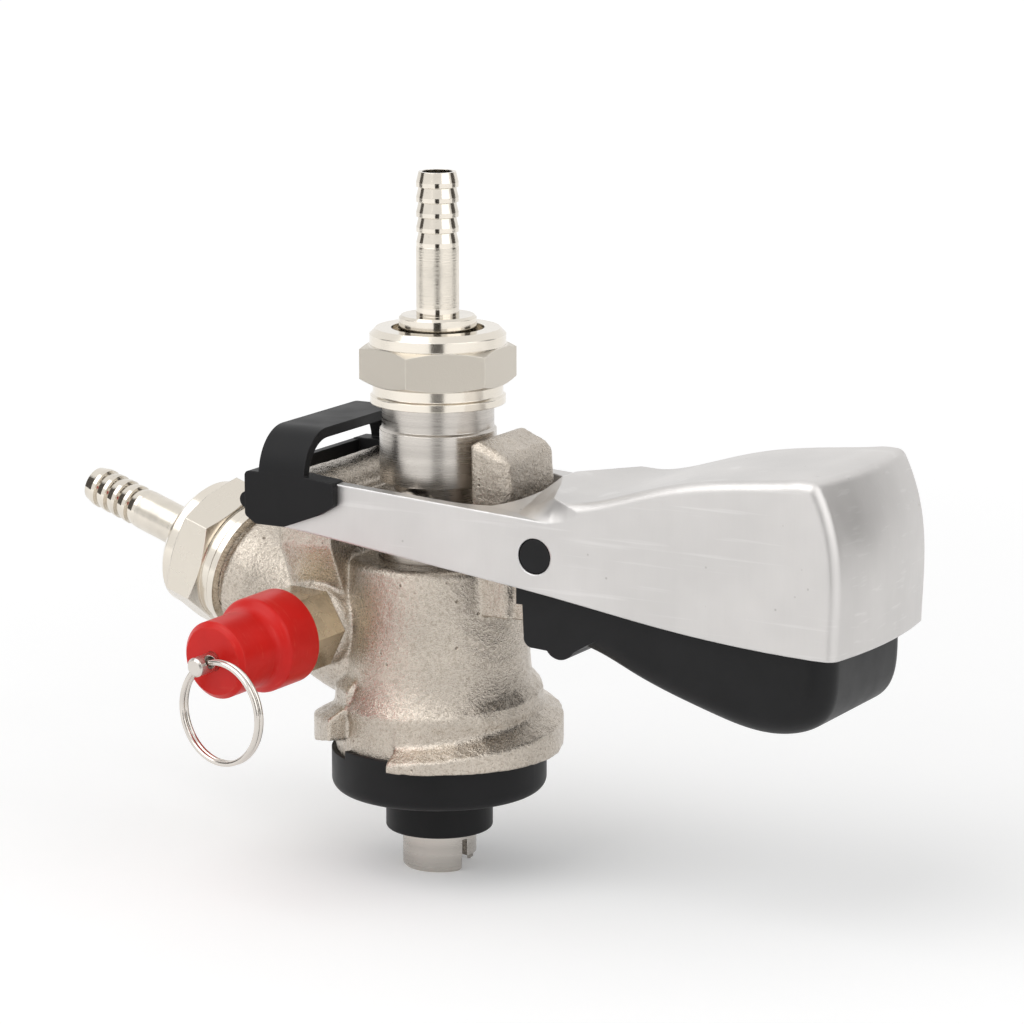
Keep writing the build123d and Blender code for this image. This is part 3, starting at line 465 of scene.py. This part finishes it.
def cast_aluminium():
    """Satin aluminium casting: fine grain, faint upright linishing marks, rubbed edges, small nicks darkened with
    painted shade.
    """
    made, tree, shader = new_material("Satin cast aluminium")
    place = placed(tree)
    skin = use(tree, cast_skin(), Place=place, Lump=0.55 * MM, Pit_Share=0.018)
    marks = use(tree, handling(), Place=place, Smudges=42.0)
    worn = use(tree, edge_wear(), Place=place, Width=0.7 * MM, Patches=330.0)["Mask"]
    drawn = node(tree, "Mapping", {"Vector": place, "Scale": (1.0, 1.0, 0.07)}).outputs[0]
    linish = noise(tree, drawn, 1500.0, 3.0, 0.65)
    base = blend_colour(tree, fit(tree, marks["Smudge"], 0.36, 0.66), shade(tints().aluminium, 0.93),
                        shade(tints().aluminium, 1.05))
    base = blend_colour(tree, calc(tree, "MULTIPLY", marks["Specks"], 0.30), base, (0.35, 0.34, 0.33))
    # painted shade: the pits are made dark grey inside
    base = blend_colour(tree, calc(tree, "MULTIPLY", skin["Pits"], 0.5), base, (0.30, 0.28, 0.26))
    base = blend_colour(tree, calc(tree, "MULTIPLY", marks["Scuffs"], 0.16), base, (0.95, 0.94, 0.93))
    base = blend_colour(tree, calc(tree, "MULTIPLY", worn, 0.55), base, (0.90, 0.90, 0.90))
    height = calc(tree, "ADD", calc(tree, "MULTIPLY", skin["Height"], 0.8),
                  calc(tree, "MULTIPLY", linish, 0.35))
    rough = fit(tree, calc(tree, "ADD", marks["Smudge"], calc(tree, "MULTIPLY", linish, 0.6)),
                0.5, 1.1, 0.36, 0.50)
    wire(tree, shader, Base_Color=base, Metallic=1.0, Roughness=rough,
         Normal=bumped(tree, height, 0.028 * MM, 0.55 * MM))
    return made


def moulded_black(name, tone, rough_low, rough_high, grain, edge):
    """Black moulding: fine skin, soft sink marks and edges rubbed grey."""
    made, tree, shader = new_material(name)
    place = placed(tree)
    skin = use(tree, moulded(), Place=place, Grain=grain)
    marks = use(tree, handling(), Place=place, Smudges=80.0)
    worn = use(tree, edge_wear(), Place=place, Width=edge, Patches=240.0)["Mask"]
    base = blend_colour(tree, fit(tree, marks["Smudge"], 0.35, 0.7), tone, shade(tone, 1.7))
    base = blend_colour(tree, calc(tree, "MULTIPLY", marks["Specks"], 0.35), base, (0.10, 0.10, 0.10))
    base = blend_colour(tree, calc(tree, "MULTIPLY", worn, 0.16), base, (0.09, 0.09, 0.095))
    rough = fit(tree, marks["Smudge"], 0.3, 0.7, rough_low, rough_high)
    wire(tree, shader, Base_Color=base, Roughness=rough, Specular_IOR_Level=0.22,
         Normal=bumped(tree, skin["Height"], 0.03 * MM, 0.35 * MM))
    return made


def red_cap():
    """Red moulded cap: even gloss, faint flow marks, lighter rubbed rims."""
    made, tree, shader = new_material("Red moulded plastic")
    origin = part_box("prv_cap")[0].lerp(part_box("prv_cap")[1], 0.5)
    place = placed(tree, origin, VALVE_AXIS)
    skin = use(tree, moulded(), Place=place, Grain=0.4 * MM)
    marks = use(tree, handling(), Place=place, Smudges=100.0)
    worn = use(tree, edge_wear(), Place=place, Width=0.5 * MM, Patches=260.0)["Mask"]
    red = tints().red
    base = blend_colour(tree, fit(tree, marks["Smudge"], 0.35, 0.7), red, shade(red, 0.86))
    base = blend_colour(tree, calc(tree, "MULTIPLY", worn, 0.18), base, (0.95, 0.16, 0.10))
    base = blend_colour(tree, calc(tree, "MULTIPLY", marks["Scuffs"], 0.10), base, (0.9, 0.2, 0.14))
    rough = fit(tree, marks["Smudge"], 0.3, 0.7, 0.34, 0.46)
    wire(tree, shader, Base_Color=base, Roughness=rough, Specular_IOR_Level=0.30,
                  Normal=bumped(tree, skin["Height"], 0.022 * MM, 0.35 * MM))
    return made


def plated_brass():
    """Thin plate over brass: yellow where it has rubbed through, dull flats, bright edges."""
    made, tree, shader = new_material("Plated brass")
    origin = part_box("prv_body")[0].lerp(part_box("prv_body")[1], 0.5)
    place = placed(tree, origin, VALVE_AXIS)
    rings = use(tree, turning(), Place=place, Pitch=0.5 * MM)
    marks = use(tree, handling(), Place=place, Smudges=150.0)
    worn = use(tree, edge_wear(), Place=place, Width=0.35 * MM, Patches=260.0)["Mask"]
    brass = tints().brass
    base = blend_colour(tree, fit(tree, marks["Smudge"], 0.38, 0.62), brass, shade(brass, 1.3))
    base = blend_colour(tree, calc(tree, "MULTIPLY", worn, 0.6), base, (0.82, 0.72, 0.50))
    rough = fit(tree, marks["Smudge"], 0.3, 0.7, 0.20, 0.34)
    wire(tree, shader, Base_Color=base, Metallic=1.0, Roughness=rough,
         Normal=bumped(tree, rings["Height"], 0.015 * MM, 0.2 * MM))
    return made


# ---------------------------------------------------------------- pieces

def dress(material, *names):
    """Give the named nodes a finish."""
    for name in names:
        piece = NODES[name]
        if not piece.data.materials:
            piece.data.materials.append(material)
        for holder in piece.material_slots:
            holder.material = material


def lattice_noise(points, cell, seed):
    """Value noise: random numbers on a cubic lattice, blended by 3t^2 - 2t^3 of each coordinate's share."""
    table = np.random.default_rng(seed).random((LATTICE, LATTICE, LATTICE))
    scaled = points / cell
    corner = np.floor(scaled).astype(int)
    share = scaled - corner
    share = share * share * (3 - 2 * share)
    total = np.zeros(len(points))
    for step in np.ndindex(2, 2, 2):
        index = (corner + step) % LATTICE
        weight = np.where(np.array(step) == 1, share, 1 - share).prod(axis=1)
        total += weight * table[index[:, 0], index[:, 1], index[:, 2]]
    return total


def mesh_points(mesh):
    """Vertex places as an array of rows."""
    flat = np.empty(len(mesh.vertices) * 3)
    mesh.vertices.foreach_get("co", flat)
    return flat.reshape(-1, 3)


def add_casting():
    """The casting with soft edges and real roughness: remeshed, relaxed, then moved along its normals."""
    source = NODES["coupler_body"]
    mesh = source.data.copy()
    piece = bpy.data.objects.new("casting", mesh)
    bpy.context.scene.collection.objects.link(piece)
    weld = piece.modifiers.new("Join", "WELD")
    weld.merge_threshold = WELD_GAP
    remesh = piece.modifiers.new("Skin", "REMESH")
    remesh.mode = "VOXEL"
    remesh.voxel_size = sizes().skin_cell
    relax = piece.modifiers.new("Relax", "SMOOTH")
    relax.factor = RELAX_SHARE
    relax.iterations = RELAX_TURNS
    graph = bpy.context.evaluated_depsgraph_get()
    skin = bpy.data.meshes.new_from_object(piece.evaluated_get(graph))
    piece.modifiers.clear()
    piece.data = skin
    skin.name = "casting"
    roughen(skin)
    skin.materials.clear()
    skin.materials.append(cast_nickel())
    skin.polygons.foreach_set("use_smooth", np.ones(len(skin.polygons), bool))
    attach(piece, "coupler")
    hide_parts("coupler_body")


def roughen(mesh):
    """Move points along their normals by two sizes of lattice noise, but leave the bored face round."""
    points = mesh_points(mesh)
    normals = np.empty(len(mesh.vertices) * 3)
    mesh.vertex_normals.foreach_get("vector", normals)
    normals = normals.reshape(-1, 3)
    lumps = lattice_noise(points, LUMP_CELL, 1) - 0.5
    swell = lattice_noise(points, SWELL_CELL, 2) - 0.5
    depth = lumps * LUMP_DEPTH + swell * SWELL_DEPTH
    radius = np.hypot(points[:, 0], points[:, 1])
    bored = radius < PROBE_R + BORE_MARGIN
    points += normals * np.where(bored, 0.0, depth)[:, None]
    radius = np.maximum(np.hypot(points[:, 0], points[:, 1]), 1e-6)
    wanted = np.where(bored, np.maximum(radius, PROBE_R + BORE_GAP), radius)
    points[:, :2] *= (wanted / radius)[:, None]
    mesh.vertices.foreach_set("co", points.ravel())
    mesh.update()


class COUPLER_OT_casting(bpy.types.Operator):
    """Cast body with a rough nickel skin"""
    bl_idname = "coupler.casting"
    bl_label = "Casting"

    def execute(self, context):
        add_casting()
        return {"FINISHED"}


class COUPLER_OT_nuts(bpy.types.Operator):
    """Union nuts and hose tails in bright nickel"""
    bl_idname = "coupler.nuts"
    bl_label = "Nuts and hose tails"

    def execute(self, context):
        beer_origin = BEER_TAIL - UP * NUT_TO_TAIL
        gas_origin = GAS_TAIL - GAS_AXIS * NUT_TO_TAIL
        dress(nut_plate("Beer nut nickel", beer_origin, UP, 1.0), "beer_nut")
        dress(nut_plate("Gas nut nickel", gas_origin, GAS_AXIS, 0.45), "gas_nut")
        dress(tail_plate("Beer tail nickel", BEER_TAIL, UP), "beer_tail")
        dress(tail_plate("Gas tail nickel", GAS_TAIL, GAS_AXIS), "gas_tail")
        return {"FINISHED"}


class COUPLER_OT_steel(bpy.types.Operator):
    """Probe, pins, studs, valve stem, ring and springs in steel"""
    bl_idname = "coupler.steel"
    bl_label = "Steel pieces"

    def execute(self, context):
        steel = tints().steel
        pin = (JOINTS["lever_hinge"]["pos_m"], JOINTS["lever_hinge"]["axis"])
        stem = (JOINTS["prv_stem_slide"].get("pos_m", (0, 0, 0)), VALVE_AXIS)
        dress(turned_steel("Turned probe steel", sizes().turning_pitch, steel, 0.20, 0.34), "probe")
        dress(turned_steel("Pin steel", 0.3 * MM, steel, 0.18, 0.30, *pin), "hinge_pin", "lever_studs")
        dress(turned_steel("Stem steel", 0.25 * MM, shade(steel, 1.15), 0.22, 0.36, *stem), "prv_stem")
        dress(turned_steel("Ring wire", 1.2 * MM, shade(steel, 1.25), 0.10, 0.18), "prv_split_ring")
        dress(turned_steel("Spring wire", 0.8 * MM, steel, 0.22, 0.34), "prv_spring", "trigger_spring")
        dress(turned_steel("Ball steel", 3.0 * MM, shade(steel, 1.1), 0.08, 0.14), "beer_check_ball")
        return {"FINISHED"}


class COUPLER_OT_lever(bpy.types.Operator):
    """Lever in satin cast aluminium"""
    bl_idname = "coupler.lever"
    bl_label = "Lever"

    def execute(self, context):
        dress(cast_aluminium(), "lever")
        return {"FINISHED"}


class COUPLER_OT_trigger(bpy.types.Operator):
    """Trigger and its pin in black plastic"""
    bl_idname = "coupler.trigger"
    bl_label = "Trigger"

    def execute(self, context):
        dress(moulded_black("Black plastic", tints().plastic, 0.36, 0.50, 0.22 * MM, 0.6 * MM),
              "trigger", "trigger_pin")
        return {"FINISHED"}


class COUPLER_OT_rubber(bpy.types.Operator):
    """Seals, washers and hinge cover in black rubber"""
    bl_idname = "coupler.rubber"
    bl_label = "Rubber pieces"

    def execute(self, context):
        dress(moulded_black("Black rubber", tints().rubber, 0.40, 0.56, 0.28 * MM, 0.5 * MM),
              "body_seal", "probe_seal", "probe_orings", "beer_washer", "gas_washer", "gas_check_valve",
              "prv_valve_disc", "hinge_cover")
        return {"FINISHED"}


class COUPLER_OT_relief_valve(bpy.types.Operator):
    """Relief valve: red cap and plated brass body"""
    bl_idname = "coupler.relief_valve"
    bl_label = "Relief valve"

    def execute(self, context):
        dress(red_cap(), "prv_cap")
        dress(plated_brass(), "prv_body")
        return {"FINISHED"}


# ---------------------------------------------------------------- studio

def grid_sheet(name, centre, across, upward, width, height):
    """Flat sheet: centre + u across + v upward, with u and v over half its width and height."""
    u, v = np.meshgrid((-0.5, 0.5), (-0.5, 0.5))
    points = (np.array(centre) + u.ravel()[:, None] * width * np.array(across)
              + v.ravel()[:, None] * height * np.array(upward))
    mesh = bpy.data.meshes.new(name)
    mesh.from_pydata(points.tolist(), [], [(0, 1, 3, 2)])
    piece = bpy.data.objects.new(name, mesh)
    bpy.context.scene.collection.objects.link(piece)
    return piece


def seen_straight(tree):
    """1 for rays from the camera, in reflections and through glass; 0 for the rays that light the part."""
    path = node(tree, "LightPath").outputs
    seen = calc(tree, "MAXIMUM", path["Is Camera Ray"], path["Is Glossy Ray"])
    return calc(tree, "MAXIMUM", seen, path["Is Transmission Ray"])


def add_floor():
    """Pale floor that shows white to the camera and in reflections, and keeps a soft shadow."""
    made, tree, shader = new_material("Pale floor")
    place = placed(tree)
    grain = noise(tree, place, 9.0, 2.0)
    away = node(tree, "VectorMath", {0: place}, operation="LENGTH").outputs["Value"]
    lift = calc(tree, "MULTIPLY", seen_straight(tree), fit(tree, away, *FLOOR_FADE, *FLOOR_LIFT))
    wire(tree, shader, Base_Color=blend_colour(tree, grain, (0.93, 0.93, 0.93), (0.96, 0.96, 0.96)),
         Roughness=0.9, Specular_IOR_Level=0.0, Emission_Color=(1, 1, 1, 1), Emission_Strength=lift)
    floor = grid_sheet("floor", (0, 0, FLOOR_Z), (1, 0, 0), (0, 1, 0), FLOOR_SIZE, FLOOR_SIZE)
    floor.data.materials.append(made)


def add_sky(strength):
    """Even sky of that strength, white to the camera and in reflections and glass."""
    world = bpy.data.worlds.new("Sky")
    bpy.context.scene.world = world
    world.use_nodes = True
    tree = world.node_tree
    tree.nodes.clear()
    level = fit(tree, seen_straight(tree), 0.0, 1.0, strength, 1.0)
    back = node(tree, "Background", {"Color": (1, 1, 1, 1), "Strength": level})
    sink = tree.nodes.new("ShaderNodeOutputWorld")
    tree.links.new(back.outputs[0], sink.inputs[0])


def heading(azimuth, rise=0.0):
    """Unit vector towards a camera at that azimuth and rise."""
    return Vector((math.sin(azimuth) * math.cos(rise), -math.cos(azimuth) * math.cos(rise),
                   math.sin(rise)))


def add_card(name, azimuth, rise, distance, width, height, tone):
    """Dark card that only reflections see, facing the part's middle."""
    towards = heading(azimuth, rise)
    across = UP.cross(towards).normalized()
    upward = towards.cross(across)
    centre = (LOW + HIGH) / 2 + towards * distance
    card = grid_sheet(name, centre, across, upward, width, height)
    made = bpy.data.materials.new(name)
    made.use_nodes = True
    tree = made.node_tree
    tree.nodes.clear()
    glow = node(tree, "Emission", {"Color": (tone, tone * 0.93, tone * 0.86, 1), "Strength": 1.0})
    sink = tree.nodes.new("ShaderNodeOutputMaterial")
    tree.links.new(glow.outputs[0], sink.inputs[0])
    card.data.materials.append(made)
    card.visible_camera = False
    card.visible_diffuse = False
    card.visible_shadow = False


def add_lamp(name, azimuth, rise, distance, size, power):
    """Soft square lamp aimed at the part's middle."""
    lamp = bpy.data.lights.new(name, "AREA")
    lamp.shape = "SQUARE"
    lamp.size = size
    lamp.energy = power
    piece = bpy.data.objects.new(name, lamp)
    towards = heading(azimuth, rise)
    piece.location = (LOW + HIGH) / 2 + towards * distance
    piece.rotation_euler = towards.to_track_quat("Z", "Y").to_euler()
    bpy.context.scene.collection.objects.link(piece)


def add_camera(studio):
    """Camera looking along its azimuth and elevation, set off from the part's origin."""
    back = heading(studio.azimuth, studio.elevation)
    right = UP.cross(back).normalized()
    upward = back.cross(right)
    camera = bpy.data.cameras.new("Camera")
    camera.lens = studio.lens
    camera.clip_end = 50
    piece = bpy.data.objects.new("Camera", camera)
    piece.matrix_world = (Matrix.Translation(right * studio.aside + upward * studio.above
                                             + back * studio.distance)
                          @ Matrix((right, upward, back)).transposed().to_4x4())
    bpy.context.scene.collection.objects.link(piece)
    bpy.context.scene.camera = piece


class COUPLER_OT_stage(bpy.types.Operator):
    """Floor, sky, lamps, cards and camera"""
    bl_idname = "coupler.stage"
    bl_label = "Stage"

    def execute(self, context):
        scene = context.scene
        studio = scene.coupler_studio
        add_floor()
        add_sky(studio.sky)
        add_lamp("Key", *KEY_LAMP, studio.key)
        add_lamp("Fill", *FILL_LAMP, studio.key * FILL_SHARE)
        add_card("Front card", studio.azimuth, *FRONT_CARD)
        add_card("Left card", studio.azimuth - SIDE_TURN, *SIDE_CARD)
        add_card("Right card", studio.azimuth + SIDE_TURN, *SIDE_CARD)
        add_camera(studio)
        scene.view_settings.view_transform = "Standard"
        return {"FINISHED"}


STEPS = (COUPLER_OT_casting, COUPLER_OT_nuts, COUPLER_OT_steel, COUPLER_OT_lever, COUPLER_OT_trigger,
         COUPLER_OT_rubber, COUPLER_OT_relief_valve, COUPLER_OT_stage)


class COUPLER_PT_panel(bpy.types.Panel):
    """Sidebar panel with the coupler's steps and settings"""
    bl_idname = "COUPLER_PT_panel"
    bl_label = "Keg coupler"
    bl_space_type = "VIEW_3D"
    bl_region_type = "UI"
    bl_category = "Coupler"

    def draw(self, context):
        for step in STEPS:
            self.layout.operator(step.bl_idname)
        scene = context.scene
        for settings in (scene.coupler_tints, scene.coupler_sizes, scene.coupler_studio):
            box = self.layout.box()
            for key in settings.__annotations__:
                box.prop(settings, key)


CLASSES = (CouplerTints, CouplerSizes, CouplerStudio, *STEPS, COUPLER_PT_panel)


def register():
    """Add the classes and the scene's settings."""
    for kind in CLASSES:
        bpy.utils.register_class(kind)
    bpy.types.Scene.coupler_tints = PointerProperty(type=CouplerTints)
    bpy.types.Scene.coupler_sizes = PointerProperty(type=CouplerSizes)
    bpy.types.Scene.coupler_studio = PointerProperty(type=CouplerStudio)


def unregister():
    """Take the settings and the classes away again."""
    del bpy.types.Scene.coupler_studio
    del bpy.types.Scene.coupler_sizes
    del bpy.types.Scene.coupler_tints
    for kind in reversed(CLASSES):
        bpy.utils.unregister_class(kind)


def main():
    register()
    bpy.ops.coupler.stage()
    bpy.ops.coupler.casting()
    bpy.ops.coupler.nuts()
    bpy.ops.coupler.steel()
    bpy.ops.coupler.lever()
    bpy.ops.coupler.trigger()
    bpy.ops.coupler.rubber()
    bpy.ops.coupler.relief_valve()


if __name__ == "__main__":
    main()
